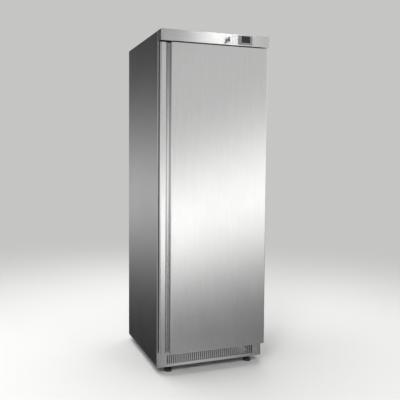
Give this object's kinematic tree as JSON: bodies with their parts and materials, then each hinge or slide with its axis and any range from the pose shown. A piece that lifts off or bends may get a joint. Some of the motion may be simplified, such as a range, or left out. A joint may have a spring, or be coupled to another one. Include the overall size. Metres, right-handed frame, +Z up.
{
  "type": "commercial upright refrigerator",
  "caption": "Upright stainless steel refrigerator with one solid right-hinged door, a rolled finger groove, a lockable control fascia, wire shelves and a slotted kick plate.",
  "frame": {"origin": "on the floor, under the middle of the object's box, the key included", "axes": "+X to the hinge side, +Y from the door to the back, +Z up"},
  "size_m": [0.6, 0.624, 1.74],
  "materials": {
    "steel": "satin",
    "galvanised": "satin",
    "liner": "satin",
    "foam": "matte",
    "black_plastic": "satin",
    "grey_plastic": "satin",
    "display": "gloss",
    "button": "satin",
    "chrome": "polished",
    "zinc": "satin",
    "wire": "satin",
    "seal": "matte",
    "rubber": "matte",
    "fins": "satin",
    "black_enamel": "satin",
    "copper": "satin",
    "lens": "satin"
  },
  "bodies": {
    "cabinet": {"left_side_panel": "steel", "right_side_panel": "steel", "top_panel": "steel", "back_panel": "galvanised", "front_frame": "black_enamel", "bay_lining": "galvanised", "base_frame": "galvanised", "cabinet_foam": "foam", "inner_liner": "liner", "fascia": "steel", "controller_housing": "black_plastic", "controller_bezel": "grey_plastic", "display_window": "display", "lock_housing": "chrome", "top_hinge_bracket": "zinc", "bottom_hinge_bracket": "zinc", "hinge_pins": "zinc", "kick_grille": "steel", "kick_screws": "zinc", "evaporator_cover": "liner", "evaporator_coil": "fins", "evaporator_fan_motor": "grey_plastic", "fan_guard": "wire", "lamp_housing": "grey_plastic", "lamp_lens": "lens", "compressor": "black_enamel", "compressor_grommets": "rubber", "terminal_cover": "black_plastic", "condenser": "black_enamel", "condenser_shroud": "galvanised", "condenser_fan_motor": "grey_plastic", "drip_tray": "grey_plastic", "electrical_box": "grey_plastic", "rear_cover": "galvanised", "mains_gland": "black_plastic", "refrigerant_pipes": "copper"},
    "door": {"door_outer_panel": "steel", "door_top_cap": "black_plastic", "door_bottom_cap": "black_plastic", "door_foam": "foam", "door_liner": "liner", "door_gasket": "seal", "hinge_bushes": "black_plastic"},
    "lock": {"lock_barrel": "chrome", "lock_cam": "zinc", "door_key": "chrome"},
    "shelf_1": {"shelf_1": "wire"},
    "shelf_2": {"shelf_2": "wire"},
    "shelf_3": {"shelf_3": "wire"},
    "shelf_4": {"shelf_4": "wire"},
    "button_1": {"button_1": "button"},
    "button_2": {"button_2": "button"},
    "button_3": {"button_3": "button"},
    "button_4": {"button_4": "button"},
    "evaporator_fan": {"evaporator_fan": "black_plastic"},
    "condenser_fan": {"condenser_fan": "black_plastic"},
    "foot_front_left": {"foot_front_left": "black_plastic"},
    "foot_front_right": {"foot_front_right": "black_plastic"},
    "foot_rear_left": {"foot_rear_left": "black_plastic"},
    "foot_rear_right": {"foot_rear_right": "black_plastic"}
  },
  "joints": [
    {"name": "door_hinge", "type": "hinge", "parent": "cabinet", "child": "door", "pos_m": [0.277, -0.258, 0.897], "axis": [0, 0, 1], "range_deg": [0, 115]},
    {"name": "lock_turn", "type": "hinge", "parent": "cabinet", "child": "lock", "pos_m": [0.057, -0.268, 1.707], "axis": [0, 1, 0], "range_deg": [0, 90]},
    {"name": "shelf_1_slide", "type": "slide", "parent": "cabinet", "child": "shelf_1", "axis": [0, -1, 0], "range_m": [0, 0.03]},
    {"name": "shelf_2_slide", "type": "slide", "parent": "cabinet", "child": "shelf_2", "axis": [0, -1, 0], "range_m": [0, 0.03]},
    {"name": "shelf_3_slide", "type": "slide", "parent": "cabinet", "child": "shelf_3", "axis": [0, -1, 0], "range_m": [0, 0.03]},
    {"name": "shelf_4_slide", "type": "slide", "parent": "cabinet", "child": "shelf_4", "axis": [0, -1, 0], "range_m": [0, 0.03]},
    {"name": "button_1_press", "type": "slide", "parent": "cabinet", "child": "button_1", "axis": [0, 1, 0], "range_m": [0, 0.001], "stiffness_N_per_m": 600},
    {"name": "button_2_press", "type": "slide", "parent": "cabinet", "child": "button_2", "axis": [0, 1, 0], "range_m": [0, 0.001], "stiffness_N_per_m": 600},
    {"name": "button_3_press", "type": "slide", "parent": "cabinet", "child": "button_3", "axis": [0, 1, 0], "range_m": [0, 0.001], "stiffness_N_per_m": 600},
    {"name": "button_4_press", "type": "slide", "parent": "cabinet", "child": "button_4", "axis": [0, 1, 0], "range_m": [0, 0.001], "stiffness_N_per_m": 600},
    {"name": "evaporator_fan_spin", "type": "hinge", "parent": "cabinet", "child": "evaporator_fan", "pos_m": [0, 0.198, 1.536], "axis": [0, 1, 0], "continuous": true},
    {"name": "condenser_fan_spin", "type": "hinge", "parent": "cabinet", "child": "condenser_fan", "pos_m": [-0.135, 0.162, 0.167], "axis": [0, 1, 0], "continuous": true},
    {"name": "foot_front_left_turn", "type": "hinge", "parent": "cabinet", "child": "foot_front_left", "pos_m": [-0.23, -0.196, 0.022], "axis": [0, 0, 1], "range_deg": [-1080, 1080]},
    {"name": "foot_front_right_turn", "type": "hinge", "parent": "cabinet", "child": "foot_front_right", "pos_m": [0.23, -0.196, 0.022], "axis": [0, 0, 1], "range_deg": [-1080, 1080]},
    {"name": "foot_rear_left_turn", "type": "hinge", "parent": "cabinet", "child": "foot_rear_left", "pos_m": [-0.23, 0.277, 0.022], "axis": [0, 0, 1], "range_deg": [-1080, 1080]},
    {"name": "foot_rear_right_turn", "type": "hinge", "parent": "cabinet", "child": "foot_rear_right", "pos_m": [0.23, 0.277, 0.022], "axis": [0, 0, 1], "range_deg": [-1080, 1080]}
  ]
}
